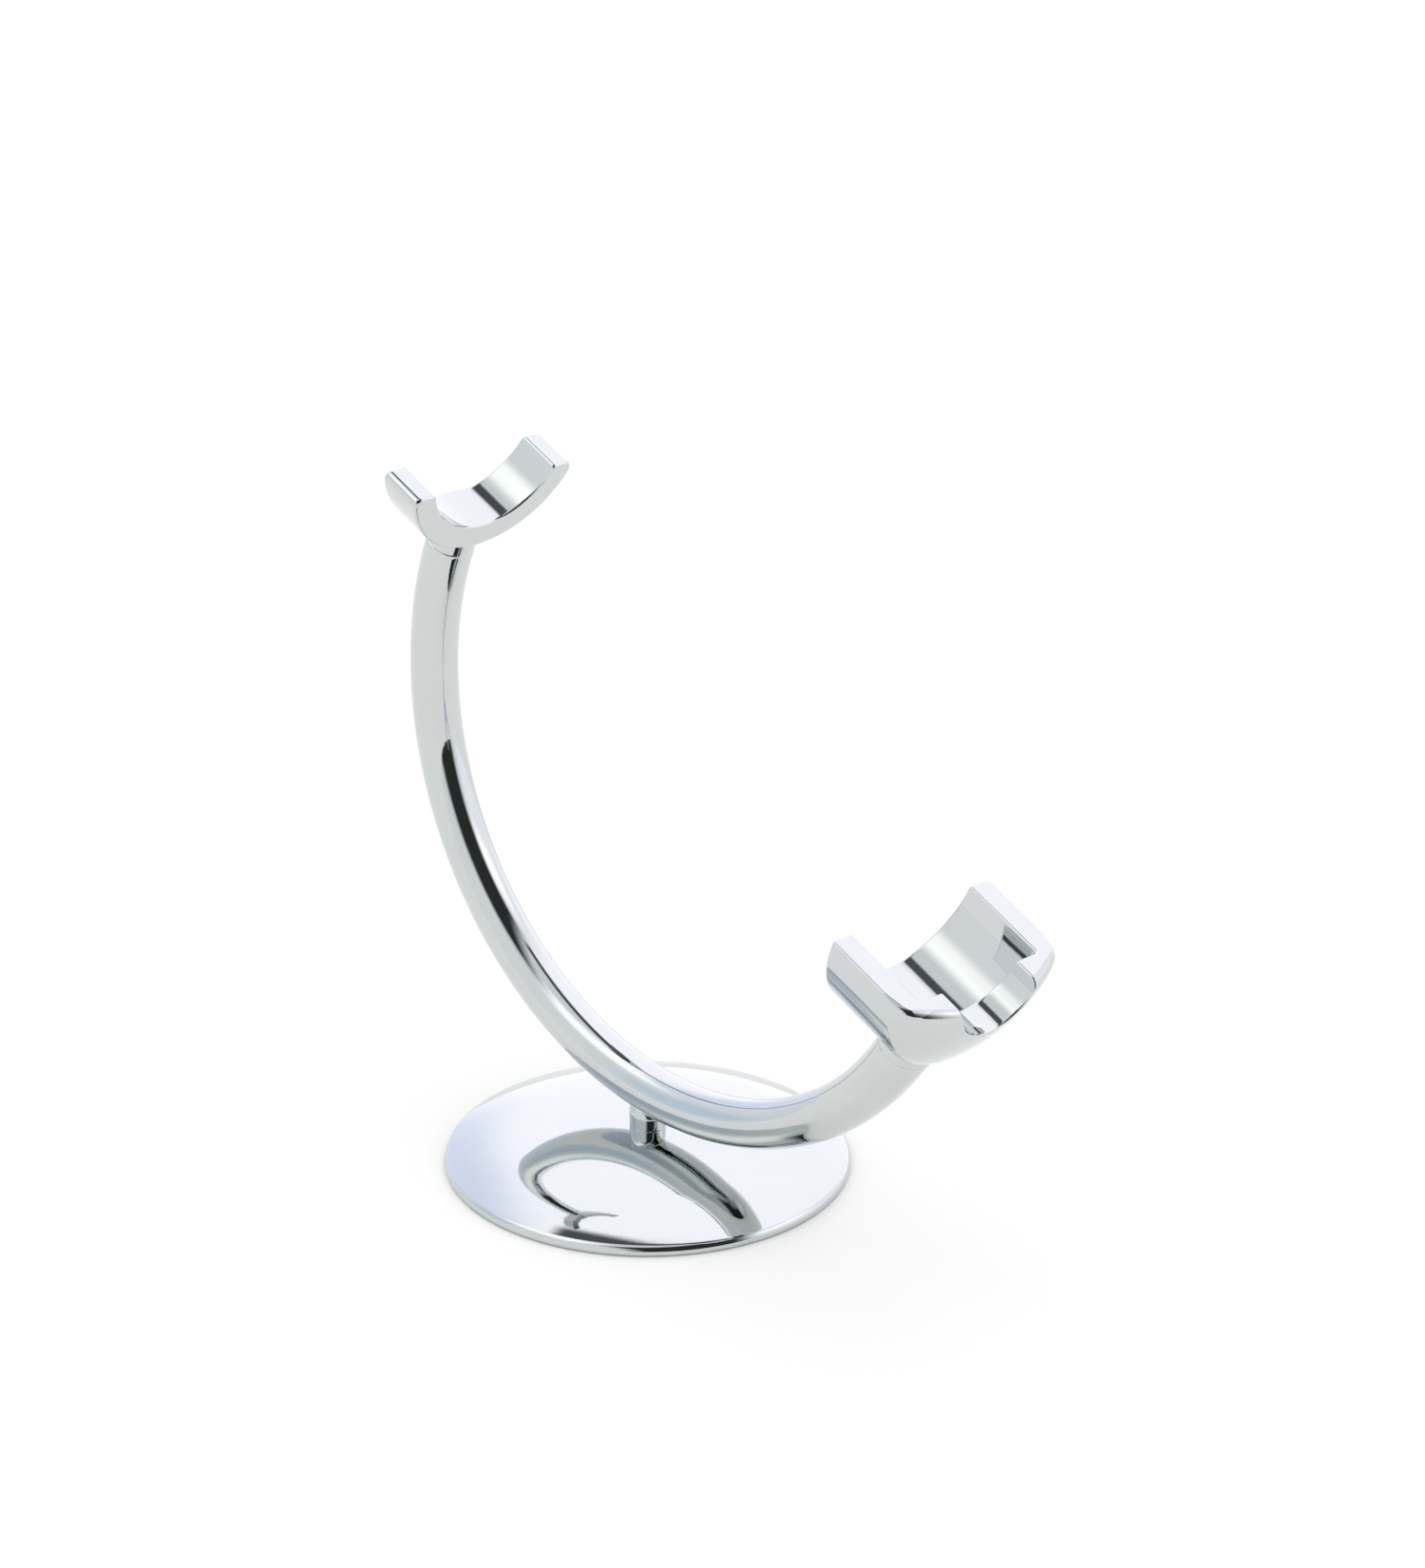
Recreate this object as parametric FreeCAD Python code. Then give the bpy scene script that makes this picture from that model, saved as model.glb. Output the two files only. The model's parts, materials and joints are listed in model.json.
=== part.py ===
"""Razor stand: a half-circle bar on a weighted disc, with a fork and a cup for a razor.

Frame: millimetres, +Z up.  The origin is the centre of the underside of the base.
The bar lies in the XZ plane; the fork is towards -X and the cup towards +X.
The stand is mirror-symmetric about the XZ plane.

The razor that the stand holds lies on the seat line.  The seat frame has its X along
that line (downhill, towards the cup), its Y along world Y and its Z square to the line,
and its origin where the line crosses the post's axis.
"""
import FreeCAD, Part
import math
import os

Vector = FreeCAD.Vector

# ---- Driving dimensions -----------------------------------------------------------
# Seat line
SEAT_TILT = 24.5            # degrees the seat line drops towards the cup
SEAT_HEIGHT = 60.0          # height of the seat line over the base's centre
PAST = 1.0                  # how far a cutting tool runs past the face it starts from

# Base disc
BASE_R = 22.5
BASE_FOOT = 0.1             # gap between the disc's lower edge and the ground
BASE_TOP = 4.25             # crown of the dome
CROWN_ARC = 110.0           # radius of the dome's flatter middle
CROWN_R = 15.0              # where the middle runs into the steeper border
BORDER_ARC = 26.0           # radius of the border's curve
EDGE_ARC = 0.35             # rounding between the border and the rim
BASE_CHAMFER = 0.2          # lower outer edge
RECESS_R = 20.7             # recess for the pad
RECESS_TOP = 1.05
SINK_GAP = 0.05             # the countersink is this much wider than the screw's head
SINK_LIP = 0.2              # straight part of the countersink

# Pad under the base
PAD_R = 20.5
PAD_CORNER = 0.2

# Bar
BAR_R = 2.72
BEND_R = 39.75              # radius of the half circle
BEND_X = 8.91               # centre of the half circle in the seat frame
BEND_Z = -8.79

# Post and its screw
POST_R = 2.05
SCREW_R = 1.23
SCREW_HEAD_R = 2.35
SCREW_HEAD_H = 1.5
SCREW_END = 9.6
SCREW_LIFT = 0.02           # the head's face stands this far inside the recess
SCREW_LAND = 0.15           # straight edge of the countersunk head
SCREW_TIP = 0.4             # chamfer at the screw's end
CLEAR_R = 1.35              # clearance hole through the base and the post
TAP_R = 1.25                # tapped hole in the bar
TAP_END = 9.9
SOCKET_AF = 1.5             # hexagon socket in the screw head, across flats
SOCKET_DEPTH = 0.9
HEX_SIDES = 6

# Fork
FORK_BACK = -33.0           # from the seat frame's origin, along the seat line
FORK_FRONT = -27.2
FORK_IN_R = 8.8
FORK_OUT_R = 11.8
FORK_CENTRE_Z = 4.35        # the ring's centre stands above the seat line
FORK_TIP_Z = 1.7
NECK_R = 2.78
NECK_REACH = 3.0            # the neck runs this far into the ring
FORK_SEAM = 0.9             # degrees of bend from the bar's shoulder to its end

# Cup
CUP_START = 42.2
CUP_FLOOR = 52.4            # inner face of the end wall
CUP_END = 56.7              # crown of the domed end
CUP_DOME_R = 20.0
CUP_IN_R = 8.5
CUP_OUT_R = 11.4
NOTCH_R = 5.5
NOTCH_Z = 1.0
BOSS_R = 3.5
BOSS_STEP = 0.05            # the boss is this much thicker than the bar at the seam
CUP_SEAM = 7.5              # degrees of bend from the bar's shoulder to its end

# Spigots turned on the ends of the bar, and the sockets that take them
SPIGOT_R = 1.7
SPIGOT_GAP = 0.03
SOCKET_END_GAP = 0.1
FORK_SPIGOT = 3.6
CUP_SPIGOT = 4.6


# ---- Frames and helpers -----------------------------------------------------------
TILT = math.radians(SEAT_TILT)


def seat_to_world(x, z):
    """World X and Z of a point given in the seat frame, in the plane of symmetry."""
    return Vector(x * math.cos(TILT) + z * math.sin(TILT), 0.0,
                  SEAT_HEIGHT - x * math.sin(TILT) + z * math.cos(TILT))


SEAT_PLACEMENT = FreeCAD.Placement(
    Vector(0, 0, SEAT_HEIGHT), FreeCAD.Rotation(Vector(0, 1, 0), SEAT_TILT))
BEND_CENTRE = seat_to_world(BEND_X, BEND_Z)


def bar_point(angle):
    """Point on the bar's centre line; angle in degrees round the bend, 270 at the bottom."""
    a = math.radians(angle)
    return BEND_CENTRE + Vector(math.cos(a), 0, math.sin(a)) * BEND_R


def bar_tangent(angle):
    a = math.radians(angle)
    return Vector(-math.sin(a), 0, math.cos(a))


FORK_END = 180.0 - SEAT_TILT        # the bar's ends are square to the seat line
CUP_END_ANGLE = 360.0 - SEAT_TILT
FORK_SHOULDER = FORK_END + FORK_SEAM
CUP_SHOULDER = CUP_END_ANGLE - CUP_SEAM


def revolve(edges):
    """Solid of revolution about Z from a closed outline in the XZ plane."""
    face = Part.Face(Part.Wire(edges))
    return face.revolve(Vector(0, 0, 0), Vector(0, 0, 1), 360)


def line(p, q):
    return Part.LineSegment(Vector(p[0], 0, p[1]), Vector(q[0], 0, q[1])).toShape()


def arc(p, m, q):
    return Part.Arc(Vector(p[0], 0, p[1]), Vector(m[0], 0, m[1]), Vector(q[0], 0, q[1])).toShape()


def arc_height(centre, radius, r):
    """Height of the upper side of a circle in the XZ plane at distance r from the axis."""
    return centre[1] + math.sqrt(radius ** 2 - (r - centre[0]) ** 2)


CROWN_CENTRE = (0.0, BASE_TOP - CROWN_ARC)
CROWN_EDGE = (CROWN_R, arc_height(CROWN_CENTRE, CROWN_ARC, CROWN_R))


def towards(p, q, distance):
    """Point at a distance from p along the line towards q."""
    share = distance / math.hypot(q[0] - p[0], q[1] - p[1])
    return (p[0] + (q[0] - p[0]) * share, p[1] + (q[1] - p[1]) * share)


# The border's arc leaves the crown's arc without a corner, so its centre is on the same line.
BORDER_CENTRE = towards(CROWN_EDGE, CROWN_CENTRE, BORDER_ARC)
EDGE_X = BASE_R - EDGE_ARC
EDGE_CENTRE = (EDGE_X, arc_height(BORDER_CENTRE, BORDER_ARC - EDGE_ARC, EDGE_X))
BORDER_EDGE = towards(BORDER_CENTRE, EDGE_CENTRE, BORDER_ARC)


def bar_solid():
    """The round bar from one shoulder to the other."""
    circle = Part.Circle(bar_point(FORK_SHOULDER), bar_tangent(FORK_SHOULDER), BAR_R)
    face = Part.Face(Part.Wire(circle.toShape()))
    return face.revolve(BEND_CENTRE, Vector(0, -1, 0), CUP_SHOULDER - FORK_SHOULDER)


def spigot(angle, sign, radius, length):
    """Cylinder from the bar's end at the given angle, outwards along the bar."""
    return Part.makeCylinder(radius, length, bar_point(angle), bar_tangent(angle) * sign)


# ---- Pieces -----------------------------------------------------------------------
def base_disc():
    corner_r = BASE_R - BASE_CHAMFER
    corner_z = BASE_FOOT + BASE_CHAMFER
    rim = (BASE_R, EDGE_CENTRE[1])
    chord_middle = ((rim[0] + BORDER_EDGE[0]) / 2, (rim[1] + BORDER_EDGE[1]) / 2)
    edge_middle = towards(EDGE_CENTRE, chord_middle, EDGE_ARC)
    border_middle_r = (CROWN_R + BORDER_EDGE[0]) / 2
    border_middle = (border_middle_r, arc_height(BORDER_CENTRE, BORDER_ARC, border_middle_r))
    crown_middle = (CROWN_R / 2, arc_height(CROWN_CENTRE, CROWN_ARC, CROWN_R / 2))
    hole = (CLEAR_R, arc_height(CROWN_CENTRE, CROWN_ARC, CLEAR_R))
    sink_r = SCREW_HEAD_R + SINK_GAP
    sink_lip = RECESS_TOP + SINK_LIP
    sink_top = RECESS_TOP + SCREW_HEAD_H
    outline = [
        line((CLEAR_R, sink_top), (sink_r, sink_lip)),
        line((sink_r, sink_lip), (sink_r, RECESS_TOP)),
        line((sink_r, RECESS_TOP), (RECESS_R, RECESS_TOP)),
        line((RECESS_R, RECESS_TOP), (RECESS_R, BASE_FOOT)),
        line((RECESS_R, BASE_FOOT), (corner_r, BASE_FOOT)),
        line((corner_r, BASE_FOOT), (BASE_R, corner_z)),
        line((BASE_R, corner_z), rim),
        arc(rim, edge_middle, BORDER_EDGE),
        arc(BORDER_EDGE, border_middle, CROWN_EDGE),
        arc(CROWN_EDGE, crown_middle, hole),
        line(hole, (CLEAR_R, sink_top)),
    ]
    return revolve(outline)


def base_pad():
    top = RECESS_TOP
    outline = [
        line((0, 0), (PAD_R - PAD_CORNER, 0)),
        line((PAD_R - PAD_CORNER, 0), (PAD_R, PAD_CORNER)),
        line((PAD_R, PAD_CORNER), (PAD_R, top)),
        line((PAD_R, top), (0, top)),
        line((0, top), (0, 0)),
    ]
    return revolve(outline)


def base_screw():
    """Countersunk screw with a hexagon socket, driven up from below."""
    bottom = RECESS_TOP + SCREW_LIFT
    land = bottom + SCREW_LAND
    neck = bottom + SCREW_HEAD_H
    tip = SCREW_TIP
    outline = [
        line((0, bottom), (SCREW_HEAD_R, bottom)),
        line((SCREW_HEAD_R, bottom), (SCREW_HEAD_R, land)),
        line((SCREW_HEAD_R, land), (SCREW_R, neck)),
        line((SCREW_R, neck), (SCREW_R, SCREW_END - tip)),
        line((SCREW_R, SCREW_END - tip), (SCREW_R - tip, SCREW_END)),
        line((SCREW_R - tip, SCREW_END), (0, SCREW_END)),
        line((0, SCREW_END), (0, bottom)),
    ]
    corner = SOCKET_AF / math.sqrt(3)
    turns = [2 * math.pi * i / HEX_SIDES for i in range(HEX_SIDES + 1)]
    points = [Vector(corner * math.cos(a), corner * math.sin(a), bottom) for a in turns]
    socket = Part.Face(Part.makePolygon(points)).extrude(Vector(0, 0, SOCKET_DEPTH))
    return revolve(outline).cut(socket)


def post():
    """Turned spacer that stands on the dome and cradles the bar in a saddle."""
    foot = BASE_TOP
    top = bar_point(270).z
    body = Part.makeCylinder(POST_R, top - foot, Vector(0, 0, foot))
    bore = Part.makeCylinder(CLEAR_R, top, Vector(0, 0, 0))
    return body.cut(bore).cut(bar_solid()).removeSplitter()


def arm():
    """Bent bar with turned-down ends and a tapped hole for the screw."""
    body = bar_solid()
    body = body.fuse(spigot(FORK_SHOULDER, -1, SPIGOT_R, FORK_SPIGOT))
    body = body.fuse(spigot(CUP_SHOULDER, 1, SPIGOT_R, CUP_SPIGOT))
    tapped = Part.makeCylinder(TAP_R, TAP_END, Vector(0, 0, 0))
    return body.cut(tapped).removeSplitter()


def top_fork():
    """Open ring slice with a round neck that takes the bar's upper spigot."""
    width = FORK_FRONT - FORK_BACK
    along = Vector(1, 0, 0)
    centre = Vector(FORK_BACK, 0, FORK_CENTRE_Z)
    ring = Part.makeCylinder(FORK_OUT_R, width, centre, along)
    gap = Part.makeCylinder(FORK_IN_R, width + 2 * PAST, centre - along * PAST, along)
    above = Part.makeBox(width + 2 * PAST, 4 * FORK_OUT_R, 2 * FORK_OUT_R,
                         Vector(FORK_BACK - PAST, -2 * FORK_OUT_R, FORK_TIP_Z))
    ring = ring.cut(above)
    ring.Placement = SEAT_PLACEMENT
    gap.Placement = SEAT_PLACEMENT
    reach = BEND_R * math.radians(FORK_SEAM) + NECK_REACH
    neck = spigot(FORK_SHOULDER, -1, NECK_R, reach)
    socket = spigot(FORK_SHOULDER, -1, SPIGOT_R + SPIGOT_GAP, FORK_SPIGOT + SOCKET_END_GAP)
    return ring.fuse(neck).cut(gap).cut(socket).removeSplitter()


def cup_outline():
    """Outer half-profile of the cup in the seat frame: a cylinder with a domed end."""
    sagitta = CUP_DOME_R - math.sqrt(CUP_DOME_R ** 2 - CUP_OUT_R ** 2)
    middle_r = CUP_OUT_R / 2
    middle_x = CUP_END - (CUP_DOME_R - math.sqrt(CUP_DOME_R ** 2 - middle_r ** 2))
    corner = (CUP_END - sagitta, CUP_OUT_R)
    return [
        line((CUP_START, 0), (CUP_START, CUP_OUT_R)),
        line((CUP_START, CUP_OUT_R), corner),
        arc(corner, (middle_x, middle_r), (CUP_END, 0)),
        line((CUP_END, 0), (CUP_START, 0)),
    ]


def bottom_cup():
    """Half-round cup with a domed, notched end wall and a boss for the bar's lower spigot."""
    along = Vector(1, 0, 0)
    outer = Part.Face(Part.Wire(cup_outline())).revolve(Vector(0, 0, 0), along, 360)
    above = Part.makeBox(CUP_END - CUP_START + 2 * PAST, 4 * CUP_OUT_R, 2 * CUP_OUT_R,
                         Vector(CUP_START - PAST, -2 * CUP_OUT_R, 0))
    outer = outer.cut(above)
    hollow = Part.makeCylinder(CUP_IN_R, CUP_FLOOR - CUP_START + PAST,
                               Vector(CUP_START - PAST, 0, 0), along)
    notch = Part.makeCylinder(NOTCH_R, CUP_END - CUP_FLOOR + 2 * PAST,
                              Vector(CUP_FLOOR - PAST, 0, NOTCH_Z), along)
    for shape in (outer, hollow, notch):
        shape.Placement = SEAT_PLACEMENT
    reach = BEND_R * math.radians(CUP_SEAM)
    boss = Part.makeCone(BAR_R + BOSS_STEP, BOSS_R, reach,
                         bar_point(CUP_SHOULDER), bar_tangent(CUP_SHOULDER))
    socket = spigot(CUP_SHOULDER, 1, SPIGOT_R + SPIGOT_GAP, CUP_SPIGOT + SOCKET_END_GAP)
    return outer.fuse(boss).cut(hollow).cut(notch).cut(socket).removeSplitter()


PIECES = {
    "base_disc": base_disc,
    "base_pad": base_pad,
    "base_screw": base_screw,
    "post": post,
    "arm": arm,
    "top_fork": top_fork,
    "bottom_cup": bottom_cup,
}

os.makedirs("parts", exist_ok=True)
for name, make in PIECES.items():
    shape = make()
    shape.exportStep("parts/" + name + ".step")
    print(name, "valid", shape.isValid(), "solids", len(shape.Solids), "volume", round(shape.Volume, 1))
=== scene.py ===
import json
import math

import bpy
import numpy as np
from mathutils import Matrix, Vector


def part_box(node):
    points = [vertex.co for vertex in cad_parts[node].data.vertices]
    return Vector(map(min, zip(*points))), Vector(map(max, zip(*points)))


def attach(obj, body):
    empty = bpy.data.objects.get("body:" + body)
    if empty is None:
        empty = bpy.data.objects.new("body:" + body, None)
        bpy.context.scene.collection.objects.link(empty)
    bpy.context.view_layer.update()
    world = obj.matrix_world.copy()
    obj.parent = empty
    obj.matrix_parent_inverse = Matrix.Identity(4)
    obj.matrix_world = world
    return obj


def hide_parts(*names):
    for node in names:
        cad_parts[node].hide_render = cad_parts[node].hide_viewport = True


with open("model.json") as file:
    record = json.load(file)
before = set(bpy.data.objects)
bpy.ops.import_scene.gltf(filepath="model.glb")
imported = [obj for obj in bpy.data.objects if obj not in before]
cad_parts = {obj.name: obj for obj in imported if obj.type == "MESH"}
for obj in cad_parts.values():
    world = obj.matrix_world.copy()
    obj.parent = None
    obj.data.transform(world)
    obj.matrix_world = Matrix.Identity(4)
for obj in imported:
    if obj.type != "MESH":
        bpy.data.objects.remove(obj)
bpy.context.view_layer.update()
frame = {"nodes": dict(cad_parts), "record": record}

MM = 0.001
FINE_CELL = 0.16            # mesh cells of the fork and the cup, in millimetres

# ---------------------------------------------------------------------------
# Design values in millimetres.  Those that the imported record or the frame
# holds are read from there.  The rest repeat the design's own dimensions,
# except where a comment says how they differ, and apart from the roundings,
# fillets and swellings, which the design leaves plain.
# ---------------------------------------------------------------------------
MOUNTS = {m["name"]: m for m in frame["record"]["mounts"]}
UPHILL = MOUNTS["handle_seat"]["axis"]
TILT = math.atan2(UPHILL[2], -UPHILL[0])
SEAT_HEIGHT = 60.0

BASE_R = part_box("base_disc")[1].x / MM
BASE_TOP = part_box("base_disc")[1].z / MM
BASE_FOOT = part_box("base_disc")[0].z / MM
PAD_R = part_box("base_pad")[1].x / MM
PAD_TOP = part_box("base_pad")[1].z / MM
CROWN_ARC = 110.0
CROWN_R = 15.0
BORDER_ARC = 26.0
EDGE_ARC = 0.9              # rounder than the design's 0.35
RECESS_R = 20.7

BAR_R = 2.72
BEND_R = 39.75
BEND_S = 8.91
BEND_H = -8.79
POST_R = 2.05

FORK_IN_R = MOUNTS["neck_seat"]["dims"]["r_mm"]
FORK_WALL = 3.0
FORK_BORE_SPARE = 1.5       # the ring is meshed this much too thick, then bored
FORK_WIDTH = 5.8
FORK_MIDDLE = -30.1
FORK_CENTRE_H = 4.35
FORK_TIP_H = 1.7
FORK_SEAM = math.radians(0.9)
FORK_FACE_ROUND = 0.35
FORK_CORNER_ROUND = 1.4     # outer corners of the tips, seen along the seat line
FORK_TIP_ROUND = 0.5
FORK_BORE_ROUND = 0.3
NECK_REACH = 0.5            # the neck runs this far past the bottom of the bore
NECK_FILLET = 1.1
SEAM_ROUND = 0.05
NECK_R = 2.76               # 0.02 less than the design's, for a fainter seam

CUP_IN_R = MOUNTS["handle_seat"]["dims"]["r_mm"]
CUP_WALL = 2.9
CUP_START = 42.2
CUP_FLOOR = 52.4
CUP_END = 56.7
CUP_DOME_R = 20.0
NOTCH_R = 5.5
NOTCH_H = 1.0
BOSS_R = 3.1                # a cylinder with a fillet, in place of the design's cone
CUP_SEAM = math.radians(7.5)
CUP_END_ROUND = 1.2
CUP_START_ROUND = 0.5
CUP_RIM_ROUND = 0.3
CUP_RIM_EXTRA = 1.0         # added to the rim's rounding at the closed end
CUP_RIM_FROM = 50.0         # where that starts, and how far it takes
CUP_RIM_RUN = 4.0
CUP_FLOOR_ROUND = 0.4
NOTCH_ROUND = 0.25
BOSS_FILLET = 2.2
BOSS_SEAM_ROUND = 0.04

BAR_SWELL = 0.28            # extra radius of the bar at the cup
BAR_SWELL_RUN = math.radians(30)
BAR_FLARE = 0.06            # extra radius of the bar at the fork
BAR_FLARE_RUN = math.radians(20)
BAR_CHAMFER = 0.04
PAD_ROUND = 0.35
BASE_FOOT_ROUND = 0.2

# Opposite corners, in the seat frame, of the boxes that the fork and the cup are meshed in
FORK_BOX = ((-35, -13, -11), (-25, 13, 3))
CUP_BOX = ((41, -13, -17), (58.5, 13, 1.5))
BASE_SEGMENTS = 256
PAD_SEGMENTS = 192

# ---------------------------------------------------------------------------
# Seat frame: s runs downhill along the razor's line, y is world Y, and h is
# square to both.
# ---------------------------------------------------------------------------
def seat_to_world(points):
    s, y, h = points[..., 0], points[..., 1], points[..., 2]
    x = s * math.cos(TILT) + h * math.sin(TILT)
    z = SEAT_HEIGHT - s * math.sin(TILT) + h * math.cos(TILT)
    return np.stack([x, y, z], -1)


def turn_to_world(vectors):
    moved = seat_to_world(vectors)
    moved[..., 2] -= SEAT_HEIGHT
    return moved


# ---------------------------------------------------------------------------
# Mesh tools
# ---------------------------------------------------------------------------
def mesh_object(name, points, faces, normals=None):
    """A smooth-shaded object from points in millimetres."""
    mesh = bpy.data.meshes.new(name)
    mesh.from_pydata((points * MM).tolist(), [], faces)
    mesh.validate()
    mesh.polygons.foreach_set("use_smooth", [True] * len(mesh.polygons))
    if normals is not None:
        mesh.normals_split_custom_set_from_vertices(normals.tolist())
    mesh.update()
    obj = bpy.data.objects.new(name, mesh)
    bpy.context.scene.collection.objects.link(obj)
    return obj


def round_and(a, b, radius):
    """Intersection of two distance fields with its edge rounded."""
    u = np.maximum(radius + a, 0)
    v = np.maximum(radius + b, 0)
    return np.minimum(-radius, np.maximum(a, b)) + np.hypot(u, v)


def round_or(a, b, radius):
    """Union of two distance fields with a fillet between them."""
    u = np.maximum(radius - a, 0)
    v = np.maximum(radius - b, 0)
    return np.maximum(radius, np.minimum(a, b)) - np.hypot(u, v)


def gradient(field, points, step=0.01):
    parts = []
    for axis in range(3):
        offset = np.zeros(3)
        offset[axis] = step
        parts.append(field(points + offset) - field(points - offset))
    slope = np.stack(parts, -1)
    return slope / np.maximum(np.linalg.norm(slope, axis=-1, keepdims=True), 1e-9)


def surface_net(field, low, high, cell):
    """Quads on the zero surface of a distance field over a box, with its vertices
    pulled onto the surface and their exact normals."""
    low = np.array(low, float)
    counts = [int(math.ceil((high[i] - low[i]) / cell)) + 1 for i in range(3)]
    axes = [low[i] + cell * np.arange(counts[i]) for i in range(3)]
    grid = np.stack(np.meshgrid(*axes, indexing="ij"), -1)
    values = field(grid)
    inside = values < 0
    cells = tuple(n - 1 for n in counts)

    def corner(array, k):
        i, j, m = (k >> 0) & 1, (k >> 1) & 1, (k >> 2) & 1
        return array[i:i + cells[0], j:j + cells[1], m:m + cells[2]]

    total = sum(corner(inside, k).astype(int) for k in range(8))
    active = (total > 0) & (total < 8)
    where = np.argwhere(active)
    number = np.full(cells, -1)
    number[active] = np.arange(len(where))
    place = np.zeros((len(where), 3))
    hits = np.zeros(len(where))
    for k in range(8):
        for bit in (1, 2, 4):
            if k & bit:
                continue
            a = corner(values, k)[active]
            b = corner(values, k | bit)[active]
            crossed = (a < 0) != (b < 0)
            share = np.where(crossed, a / np.where(crossed, a - b, 1), 0)
            start = np.array([(k >> n) & 1 for n in range(3)], float)
            along = np.array([(bit >> n) & 1 for n in range(3)], float)
            place += np.where(crossed[:, None], start + share[:, None] * along, 0)
            hits += crossed
    points = low + cell * (where + place / hits[:, None])
    for _ in range(4):
        normals = gradient(field, points)
        points = points - field(points)[:, None] * normals
    normals = gradient(field, points)

    faces = []
    for axis in range(3):
        b, c = (axis + 1) % 3, (axis + 2) % 3
        first = [slice(None)] * 3
        second = [slice(None)] * 3
        first[axis] = slice(0, -1)
        second[axis] = slice(1, None)
        lower = inside[tuple(first)]
        upper = inside[tuple(second)]
        edge = np.argwhere(lower != upper)
        keep_b = (edge[:, b] > 0) & (edge[:, b] < cells[b])
        keep_c = (edge[:, c] > 0) & (edge[:, c] < cells[c])
        edge = edge[keep_b & keep_c]
        ring = []
        for db, dc in ((-1, -1), (0, -1), (0, 0), (-1, 0)):
            moved = edge.copy()
            moved[:, b] += db
            moved[:, c] += dc
            ring.append(number[moved[:, 0], moved[:, 1], moved[:, 2]])
        quads = np.stack(ring, -1)
        outward = lower[edge[:, 0], edge[:, 1], edge[:, 2]]
        quads[~outward] = quads[~outward][:, ::-1]
        faces.append(quads)
    return points, np.concatenate(faces).tolist(), normals


def seat_object(name, field, low, high, cell):
    points, faces, normals = surface_net(field, low, high, cell)
    return mesh_object(name, seat_to_world(points), faces, turn_to_world(normals))


def ring_faces(rings, segments):
    """Quads between neighbouring rings of points."""
    faces = []
    for i in range(rings - 1):
        low, high = i * segments, (i + 1) * segments
        for j in range(segments):
            k = (j + 1) % segments
            faces.append((low + j, low + k, high + k, high + j))
    return faces


def end_faces(rings, segments):
    """One flat face over the first ring and one over the last."""
    last = (rings - 1) * segments
    return [tuple(range(segments))[::-1], tuple(range(last, last + segments))]


def lathe(name, profile, segments):
    """Closed surface of revolution about Z.  The profile runs from axis to axis."""
    profile = np.array(profile, float)
    inner = profile[1:-1]
    angle = np.linspace(0, 2 * math.pi, segments, endpoint=False)
    turn = np.stack([np.cos(angle), np.sin(angle)], -1)
    rings = [np.column_stack([r * turn, np.full(segments, z)]) for r, z in inner]
    points = np.concatenate(rings + [np.array([[0, 0, profile[0][1]], [0, 0, profile[-1][1]]])])
    first, last = len(points) - 2, len(points) - 1
    faces = ring_faces(len(inner), segments)
    top = (len(inner) - 1) * segments
    for j in range(segments):
        k = (j + 1) % segments
        faces.append((first, k, j))
        faces.append((last, top + j, top + k))
    return mesh_object(name, points, faces)


def arc_points(centre, radius, start, stop, count):
    angles = np.radians(np.linspace(start, stop, count))
    return [(centre[0] + radius * math.cos(a), centre[1] + radius * math.sin(a)) for a in angles]


def fill_line(p, q, count):
    """Points between p and q, without either end."""
    steps = np.linspace(0, 1, count + 2)[1:-1]
    return [(p[0] + (q[0] - p[0]) * t, p[1] + (q[1] - p[1]) * t) for t in steps]


# ---------------------------------------------------------------------------
# Distance fields of the fork and the cup, in the seat frame
# ---------------------------------------------------------------------------
def bend_distance(points):
    """Distance from the bar's centre line, and the angle short of the bar's end at the cup."""
    s = points[..., 0] - BEND_S
    h = points[..., 2] - BEND_H
    away = np.hypot(np.hypot(s, h) - BEND_R, points[..., 1])
    return away, np.arctan2(-h, s)


def fork_field(points):
    s, y, h = points[..., 0], points[..., 1], points[..., 2]
    radius = np.hypot(y, h - FORK_CENTRE_H)
    outside = radius - FORK_IN_R - FORK_WALL
    ring = np.maximum(outside, FORK_IN_R - FORK_BORE_SPARE - radius)
    ring = round_and(ring, np.abs(s - FORK_MIDDLE) - FORK_WIDTH / 2, FORK_FACE_ROUND)
    tip = round_and(h - FORK_TIP_H, outside, FORK_CORNER_ROUND)
    ring = round_and(ring, tip, FORK_TIP_ROUND)
    away, _ = bend_distance(points)
    neck = away - NECK_R
    neck = np.maximum(neck, h + FORK_IN_R - FORK_CENTRE_H - NECK_REACH)
    body = round_or(ring, neck, NECK_FILLET)
    seam = BEND_H - BEND_R * math.sin(FORK_SEAM)
    body = round_and(body, seam - h, SEAM_ROUND)
    return round_and(body, FORK_IN_R - radius, FORK_BORE_ROUND)


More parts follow.
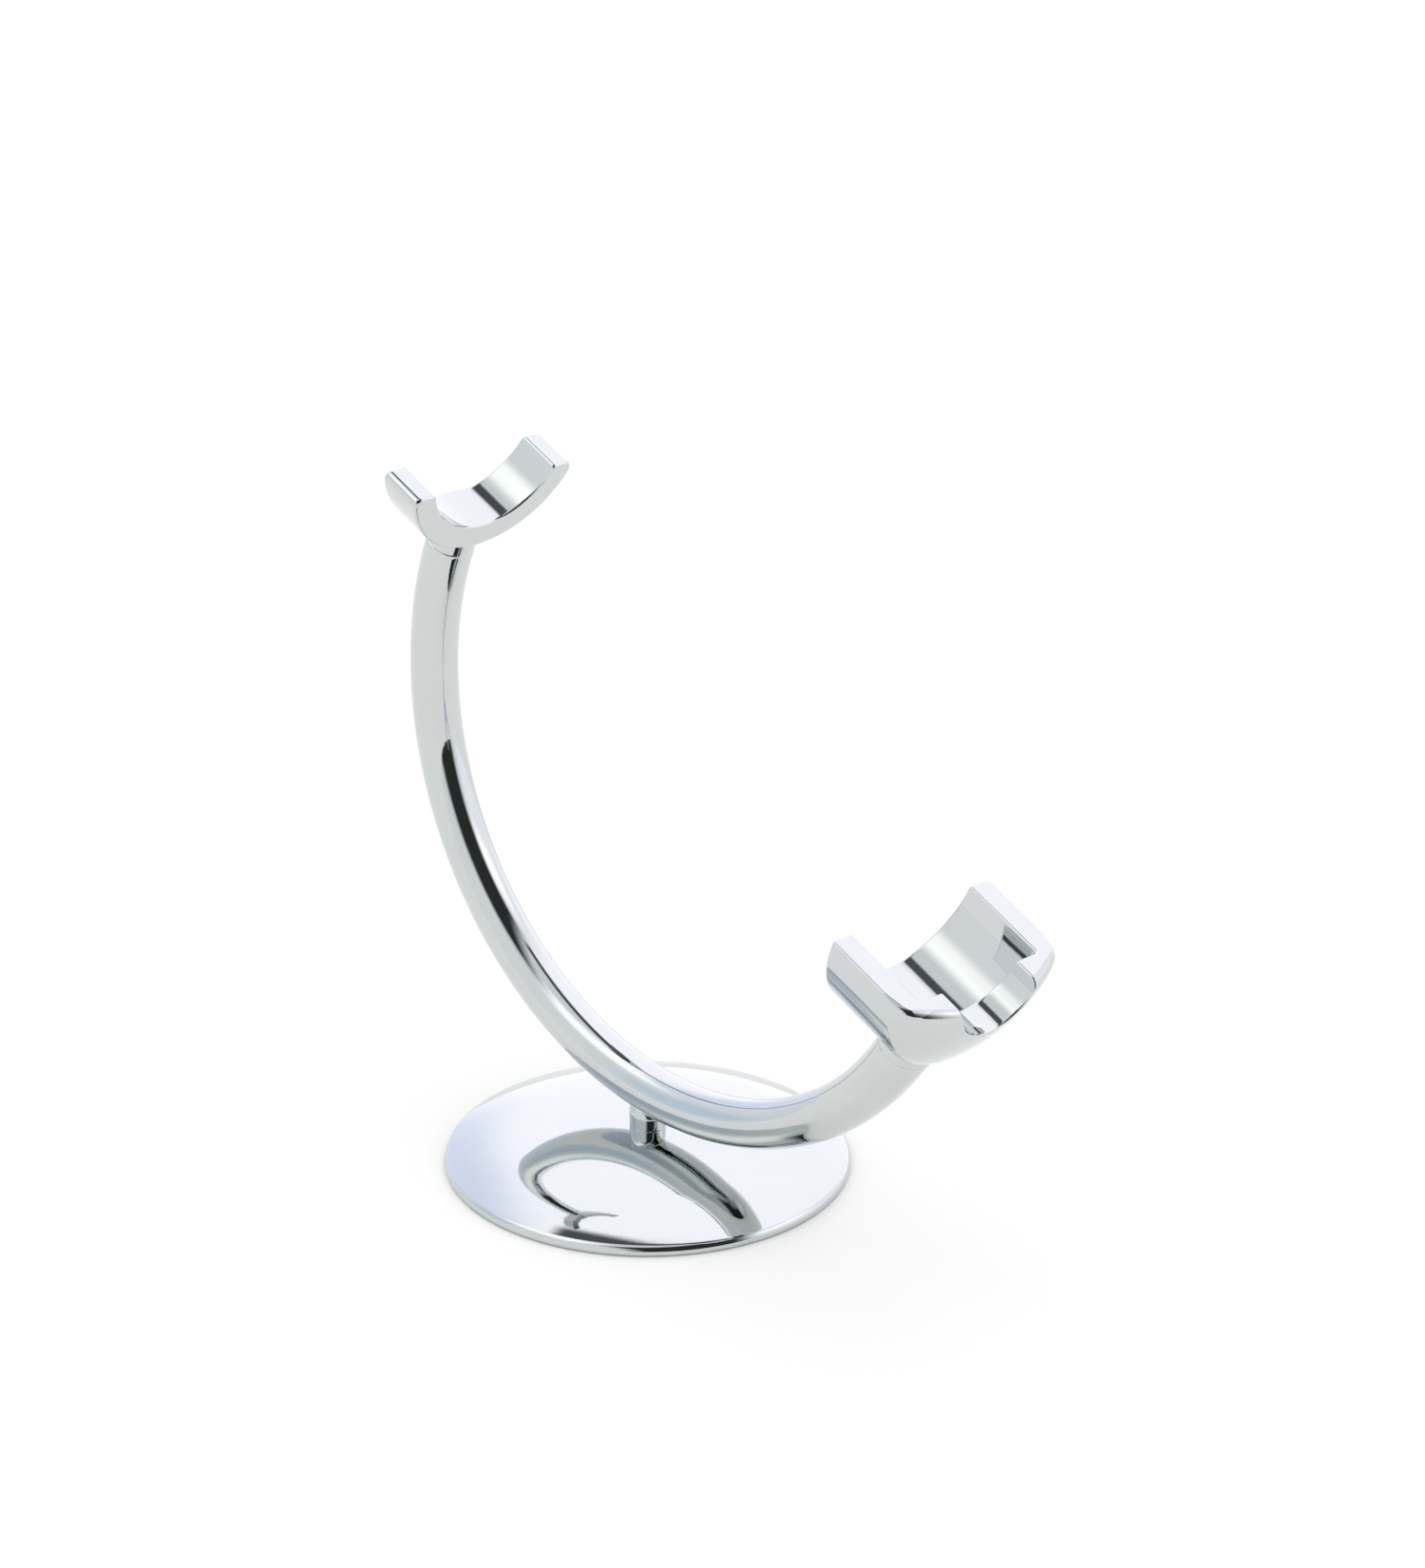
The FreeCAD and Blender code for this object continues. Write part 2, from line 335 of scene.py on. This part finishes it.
def cup_field(points):
    s, y, h = points[..., 0], points[..., 1], points[..., 2]
    radius = np.hypot(y, h)
    outer = radius - CUP_IN_R - CUP_WALL
    dome = np.sqrt((s - CUP_END + CUP_DOME_R) ** 2 + radius ** 2) - CUP_DOME_R
    body = round_and(outer, dome, CUP_END_ROUND)
    body = round_and(body, CUP_START - s, CUP_START_ROUND)
    away, angle = bend_distance(points)
    boss = away - BOSS_R
    boss = np.maximum(boss, h + CUP_IN_R)
    body = round_or(body, boss, BOSS_FILLET)
    body = round_and(body, BEND_R * (angle - CUP_SEAM), BOSS_SEAM_ROUND)
    near_end = np.clip((s - CUP_RIM_FROM) / CUP_RIM_RUN, 0, 1)
    body = round_and(body, h, CUP_RIM_ROUND + CUP_RIM_EXTRA * near_end)
    hollow = round_and(radius - CUP_IN_R, s - CUP_FLOOR, CUP_FLOOR_ROUND)
    body = round_and(body, -hollow, CUP_RIM_ROUND)
    notch = np.hypot(y, h - NOTCH_H) - NOTCH_R
    return round_and(body, -notch, NOTCH_ROUND)


# ---------------------------------------------------------------------------
# Pieces
# ---------------------------------------------------------------------------
def make_base():
    """Disc with a flat-domed top, steeper towards its rounded edge, and a recess below."""
    lean = math.asin(CROWN_R / CROWN_ARC)
    crown_z = BASE_TOP - CROWN_ARC
    border_x = CROWN_R - BORDER_ARC * math.sin(lean)
    border_z = crown_z + (CROWN_ARC - BORDER_ARC) * math.cos(lean)
    edge_x = BASE_R - EDGE_ARC
    edge_lean = math.asin((edge_x - border_x) / (BORDER_ARC - EDGE_ARC))
    edge_z = border_z + (BORDER_ARC - EDGE_ARC) * math.cos(edge_lean)
    lean, edge_lean = math.degrees(lean), math.degrees(edge_lean)

    corner = BASE_FOOT_ROUND
    rim = [(RECESS_R, PAD_TOP), (RECESS_R, BASE_FOOT + corner)]
    rim += arc_points((RECESS_R + corner, BASE_FOOT + corner), corner, 180, 270, 6)
    rim += fill_line((RECESS_R + corner, BASE_FOOT), (BASE_R - corner, BASE_FOOT), 3)
    rim += arc_points((BASE_R - corner, BASE_FOOT + corner), corner, 270, 360, 8)
    rim += fill_line((BASE_R, BASE_FOOT + corner), (BASE_R, edge_z), 2)
    rim += arc_points((edge_x, edge_z), EDGE_ARC, 0, 90 - edge_lean, 10)
    rim += arc_points((border_x, border_z), BORDER_ARC, 90 - edge_lean, 90 - lean, 40)[1:]
    rim += arc_points((0, crown_z), CROWN_ARC, 90 - lean, 90, 50)[1:-1]
    return lathe("base_disc_polished", [(0, PAD_TOP)] + rim + [(0, BASE_TOP)], BASE_SEGMENTS)


def make_pad():
    """Disc with a rounded lower edge."""
    inner = 0.4
    side = arc_points((PAD_R - PAD_ROUND, PAD_ROUND), PAD_ROUND, 270, 360, 8)
    under = [(r, 0.0) for r in np.linspace(inner, PAD_R - PAD_ROUND, 30)[:-1]]
    over = [(r, PAD_TOP) for r in np.linspace(PAD_R, inner, 20)]
    return lathe("base_pad_foam", [(0, 0)] + under + side + over + [(0, PAD_TOP)], PAD_SEGMENTS)


def bar_centre():
    middle = seat_to_world(np.array([BEND_S, 0.0, BEND_H]))
    return middle[0], middle[2]


def make_post():
    """Spacer whose top follows the underside of the bar."""
    segments = 96
    angle = np.linspace(0, 2 * math.pi, segments, endpoint=False)
    centre_x, centre_z = bar_centre()

    def saddle(x, y):
        ring = BEND_R + np.sqrt(np.maximum(BAR_R ** 2 - y * y, 0))
        return centre_z - np.sqrt(ring ** 2 - (x - centre_x) ** 2)

    sunk, waist_height, into_bar = 0.1, 1.4, 0.15
    foot, waist = BASE_TOP - sunk, BASE_TOP + waist_height
    profile = [(POST_R, foot)] + fill_line((POST_R, foot), (POST_R, waist), 6)
    turn = np.stack([np.cos(angle), np.sin(angle)], -1)
    rings = [np.column_stack([r * turn, np.full(segments, z)]) for r, z in profile]
    x, y = POST_R * np.cos(angle), POST_R * np.sin(angle)
    rings.append(np.stack([x, y, saddle(x, y) + into_bar], -1))
    points = np.concatenate(rings)
    faces = ring_faces(len(rings), segments) + end_faces(len(rings), segments)
    return mesh_object("post_turned", points, faces)


def make_bar():
    """Bar swept round the bend, a little thicker towards its ends, mostly at the cup."""
    around, along = 96, 420
    start = math.pi - TILT + FORK_SEAM
    stop = 2 * math.pi - TILT - CUP_SEAM
    centre_x, centre_z = bar_centre()
    bend = np.linspace(start, stop, along)
    near_cup = np.clip((bend - stop + BAR_SWELL_RUN) / BAR_SWELL_RUN, 0, 1)
    near_fork = np.clip((start + BAR_FLARE_RUN - bend) / BAR_FLARE_RUN, 0, 1)
    radius = BAR_R + BAR_SWELL * near_cup ** 2
    radius = radius + BAR_FLARE * near_fork
    to_end = np.minimum(bend - start, stop - bend) * BEND_R
    radius = radius - np.clip(BAR_CHAMFER - to_end, 0, BAR_CHAMFER)
    turn = np.linspace(0, 2 * math.pi, around, endpoint=False)
    out = BEND_R + radius[:, None] * np.cos(turn)
    points = np.stack([centre_x + out * np.cos(bend)[:, None],
                       radius[:, None] * np.sin(turn),
                       centre_z + out * np.sin(bend)[:, None]], -1).reshape(-1, 3)
    faces = ring_faces(along, around) + end_faces(along, around)
    return mesh_object("arm_bar", points, faces)


# ---------------------------------------------------------------------------
# Materials
# ---------------------------------------------------------------------------
def new_material(name):
    material = bpy.data.materials.new(name)
    material.use_nodes = True
    nodes = material.node_tree.nodes
    return material, material.node_tree.links, nodes, nodes["Principled BSDF"]


def add(nodes, kind, **values):
    """A node with some of its properties and inputs set."""
    node = nodes.new(kind)
    for key, value in values.items():
        if hasattr(node, key):
            setattr(node, key, value)
        else:
            node.inputs[key.replace("_", " ").title()].default_value = value
    return node


def chrome(name, peel, peel_scale):
    """Bright chrome plate: polishing haze, faint hairlines and a slight waviness."""
    material, links, nodes, shader = new_material(name)
    shader.inputs["Metallic"].default_value = 1.0
    place = add(nodes, "ShaderNodeTexCoord")
    haze = add(nodes, "ShaderNodeTexNoise", scale=260.0, detail=4.0)
    tone = add(nodes, "ShaderNodeMapRange")
    tone.inputs["From Min"].default_value = 0.35
    tone.inputs["From Max"].default_value = 0.75
    tone.inputs["To Min"].default_value = 0.025
    tone.inputs["To Max"].default_value = 0.06
    links.new(place.outputs["Object"], haze.inputs["Vector"])
    links.new(haze.outputs["Fac"], tone.inputs["Value"])
    links.new(tone.outputs["Result"], shader.inputs["Roughness"])

    tint = add(nodes, "ShaderNodeTexNoise", scale=90.0, detail=2.0)
    ramp = add(nodes, "ShaderNodeValToRGB")
    ramp.color_ramp.elements[0].position = 0.3
    ramp.color_ramp.elements[0].color = (0.59, 0.62, 0.615, 1)
    ramp.color_ramp.elements[1].position = 0.7
    ramp.color_ramp.elements[1].color = (0.61, 0.635, 0.635, 1)
    links.new(place.outputs["Object"], tint.inputs["Vector"])
    links.new(tint.outputs["Fac"], ramp.inputs["Fac"])
    links.new(ramp.outputs["Color"], shader.inputs["Base Color"])

    wave = add(nodes, "ShaderNodeTexNoise", scale=peel_scale, detail=1.0)
    hair = add(nodes, "ShaderNodeTexNoise", scale=2400.0, detail=2.0)
    soft = add(nodes, "ShaderNodeBump", distance=0.001)
    soft.inputs["Strength"].default_value = peel
    fine = add(nodes, "ShaderNodeBump", distance=0.00002)
    fine.inputs["Strength"].default_value = 0.05
    links.new(place.outputs["Object"], wave.inputs["Vector"])
    links.new(place.outputs["Object"], hair.inputs["Vector"])
    links.new(wave.outputs["Fac"], soft.inputs["Height"])
    links.new(hair.outputs["Fac"], fine.inputs["Height"])
    links.new(soft.outputs["Normal"], fine.inputs["Normal"])
    links.new(fine.outputs["Normal"], shader.inputs["Normal"])
    return material


def foam(name):
    """Black closed-cell foam with fine cells."""
    material, links, nodes, shader = new_material(name)
    shader.inputs["Roughness"].default_value = 0.85
    place = add(nodes, "ShaderNodeTexCoord")
    cells = add(nodes, "ShaderNodeTexVoronoi", scale=1800.0)
    mottle = add(nodes, "ShaderNodeTexNoise", scale=700.0, detail=5.0)
    ramp = add(nodes, "ShaderNodeValToRGB")
    ramp.color_ramp.elements[0].color = (0.012, 0.012, 0.013, 1)
    ramp.color_ramp.elements[1].color = (0.05, 0.05, 0.053, 1)
    bump = add(nodes, "ShaderNodeBump", distance=0.0002)
    bump.inputs["Strength"].default_value = 0.6
    for texture in (cells, mottle):
        links.new(place.outputs["Object"], texture.inputs["Vector"])
    links.new(mottle.outputs["Fac"], ramp.inputs["Fac"])
    links.new(ramp.outputs["Color"], shader.inputs["Base Color"])
    links.new(cells.outputs["Distance"], bump.inputs["Height"])
    links.new(bump.outputs["Normal"], shader.inputs["Normal"])
    return material


def zinc_steel(name):
    """Zinc-plated screw steel with fine turning marks."""
    material, links, nodes, shader = new_material(name)
    shader.inputs["Metallic"].default_value = 1.0
    shader.inputs["Base Color"].default_value = (0.56, 0.57, 0.6, 1)
    place = add(nodes, "ShaderNodeTexCoord")
    marks = add(nodes, "ShaderNodeTexNoise", scale=1500.0, detail=4.0)
    tone = add(nodes, "ShaderNodeMapRange")
    tone.inputs["To Min"].default_value = 0.25
    tone.inputs["To Max"].default_value = 0.5
    bump = add(nodes, "ShaderNodeBump", distance=0.00005)
    bump.inputs["Strength"].default_value = 0.4
    links.new(place.outputs["Object"], marks.inputs["Vector"])
    links.new(marks.outputs["Fac"], tone.inputs["Value"])
    links.new(tone.outputs["Result"], shader.inputs["Roughness"])
    links.new(marks.outputs["Fac"], bump.inputs["Height"])
    links.new(bump.outputs["Normal"], shader.inputs["Normal"])
    return material


# ---------------------------------------------------------------------------
# Studio
# ---------------------------------------------------------------------------
def make_floor():
    """Plain white floor that the stand stands on."""
    half = 3.0
    mesh = bpy.data.meshes.new("studio_floor")
    corners = [(-half, -half, 0), (half, -half, 0), (half, half, 0), (-half, half, 0)]
    mesh.from_pydata(corners, [], [(0, 1, 2, 3)])
    floor = bpy.data.objects.new("studio_floor", mesh)
    bpy.context.scene.collection.objects.link(floor)
    material, links, nodes, shader = new_material("floor_white")
    shader.inputs["Base Color"].default_value = (0.93, 0.93, 0.93, 1)
    shader.inputs["Roughness"].default_value = 0.7
    shader.inputs["Specular IOR Level"].default_value = 0.2
    mesh.materials.append(material)


# What the chrome mirrors, in degrees round the stand: azimuth from +X towards +Y, elevation,
# half width, half height, softness of the edges, and colour.  Later panels cover earlier ones.
PANELS = (
    (-125, 20, 60, 26, 10, (0.98, 1.00, 1.03)),
    (-140, 18, 14, 14, 8, (0.72, 0.86, 1.00)),
    (-125, 59, 22, 13, 8, (1.60, 1.60, 1.58)),
    (85, 20, 62, 40, 12, (1.22, 1.22, 1.30)),
    (165, 22, 20, 34, 8, (1.00, 1.07, 1.29)),
    (120, 30, 30, 48, 8, (1.45, 1.42, 1.52)),
    (42, 33, 18, 9, 7, (1.62, 1.60, 1.58)),
    (104, 84, 26, 6, 2, (0.10, 0.105, 0.12)),
    (-20, 28, 30, 36, 8, (0.03, 0.035, 0.035)),
)
OVERHEAD = (0.88, 0.92, 0.94)
AROUND = (0.92, 0.95, 0.96)
ROOM_LIGHT = 1.14


def axis_dot(nodes, links, direction, axis):
    dot = nodes.new("ShaderNodeVectorMath")
    dot.operation = "DOT_PRODUCT"
    dot.inputs[1].default_value = axis
    links.new(direction, dot.inputs[0])
    return dot.outputs["Value"]


def math_node(nodes, links, operation, first, second=None):
    node = nodes.new("ShaderNodeMath")
    node.operation = operation
    for socket, value in zip(node.inputs, (first, second)):
        if isinstance(value, float):
            socket.default_value = value
        elif value is not None:
            links.new(value, socket)
    return node.outputs[0]


def soft_edge(nodes, links, distance, half, soft):
    """One inside the half width, zero outside it, with a smooth step between."""
    edge = nodes.new("ShaderNodeMapRange")
    edge.interpolation_type = "SMOOTHSTEP"
    edge.inputs["From Min"].default_value = math.sin(math.radians(max(half - soft, 0)))
    edge.inputs["From Max"].default_value = math.sin(math.radians(min(half + soft, 90)))
    edge.inputs["To Min"].default_value = 1.0
    edge.inputs["To Max"].default_value = 0.0
    links.new(math_node(nodes, links, "ABSOLUTE", distance), edge.inputs["Value"])
    return edge.outputs["Result"]


def mix_colours(nodes, links, factor, below, above):
    mix = nodes.new("ShaderNodeMix")
    mix.data_type = "RGBA"
    links.new(factor, mix.inputs[0])
    for socket, value in ((mix.inputs[6], below), (mix.inputs[7], above)):
        if isinstance(value, tuple):
            socket.default_value = (*value, 1)
        else:
            links.new(value, socket)
    return mix.outputs[2]


def add_panel(nodes, links, direction, sky, panel):
    """The surroundings so far, with one soft-edged rectangle laid over them."""
    azimuth, elevation, width, height, soft, colour = panel
    a, e = math.radians(azimuth), math.radians(elevation)
    facing = (math.cos(a) * math.cos(e), math.sin(a) * math.cos(e), math.sin(e))
    across = (-math.sin(a), math.cos(a), 0)
    upward = (-math.cos(a) * math.sin(e), -math.sin(a) * math.sin(e), math.cos(e))
    side = soft_edge(nodes, links, axis_dot(nodes, links, direction, across), width, soft)
    rise = soft_edge(nodes, links, axis_dot(nodes, links, direction, upward), height, soft)
    front = math_node(nodes, links, "GREATER_THAN", axis_dot(nodes, links, direction, facing), 0.0)
    patch = math_node(nodes, links, "MULTIPLY", side, rise)
    share = math_node(nodes, links, "MULTIPLY", patch, front)
    return mix_colours(nodes, links, share, sky, colour)


def make_world():
    """Even white light, in which the chrome mirrors soft panels and a dark opening."""
    world = bpy.data.worlds.new("studio")
    bpy.context.scene.world = world
    world.use_nodes = True
    nodes, links = world.node_tree.nodes, world.node_tree.links
    direction = nodes.new("ShaderNodeTexCoord").outputs["Generated"]
    height = nodes.new("ShaderNodeMapRange")
    links.new(axis_dot(nodes, links, direction, (0, 0, 1)), height.inputs["Value"])
    sky = mix_colours(nodes, links, height.outputs["Result"], AROUND, OVERHEAD)
    for panel in PANELS:
        sky = add_panel(nodes, links, direction, sky, panel)
    mirrored = nodes.new("ShaderNodeLightPath").outputs["Is Glossy Ray"]
    seen = mix_colours(nodes, links, mirrored, (ROOM_LIGHT,) * 3, sky)
    links.new(seen, nodes["Background"].inputs["Color"])


def make_camera():
    camera = bpy.data.cameras.new("camera")
    camera.lens = 83.34
    camera.sensor_width = 36.0
    camera.clip_start = 0.01
    holder = bpy.data.objects.new("camera", camera)
    bpy.context.scene.collection.objects.link(holder)
    holder.location = Vector((262.2, -245.2, 187.5)) * MM
    holder.rotation_euler = [math.radians(a) for a in (68.31, -0.45, 46.01)]
    bpy.context.scene.camera = holder


# ---------------------------------------------------------------------------
# Assembly
# ---------------------------------------------------------------------------
make_camera()
make_world()
make_floor()
bpy.context.scene.view_settings.view_transform = "Standard"

cell = FINE_CELL
fork = seat_object("top_fork_polished", fork_field, *FORK_BOX, cell)
cup = seat_object("bottom_cup_polished", cup_field, *CUP_BOX, cell)
base = make_base()
pad = make_pad()
post = make_post()
bar = make_bar()

smooth_chrome = chrome("chrome_turned", 0.0, 30.0)
cast_chrome = chrome("chrome_cast", 0.02, 220.0)

for piece, node, slot, material in (
    (base, "base_disc", "base_chrome", smooth_chrome),
    (pad, "base_pad", "pad_foam", foam("foam_black")),
    (post, "post", "post_chrome", smooth_chrome),
    (bar, "arm", "bar_chrome", smooth_chrome),
    (fork, "top_fork", "seat_chrome", cast_chrome),
    (cup, "bottom_cup", "seat_chrome", cast_chrome),
):
    piece.data.materials.append(material)
    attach(piece, "root")
    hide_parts(node)

screw = frame["nodes"]["base_screw"]
screw.data.materials.clear()
screw.data.materials.append(zinc_steel("screw_zinc"))
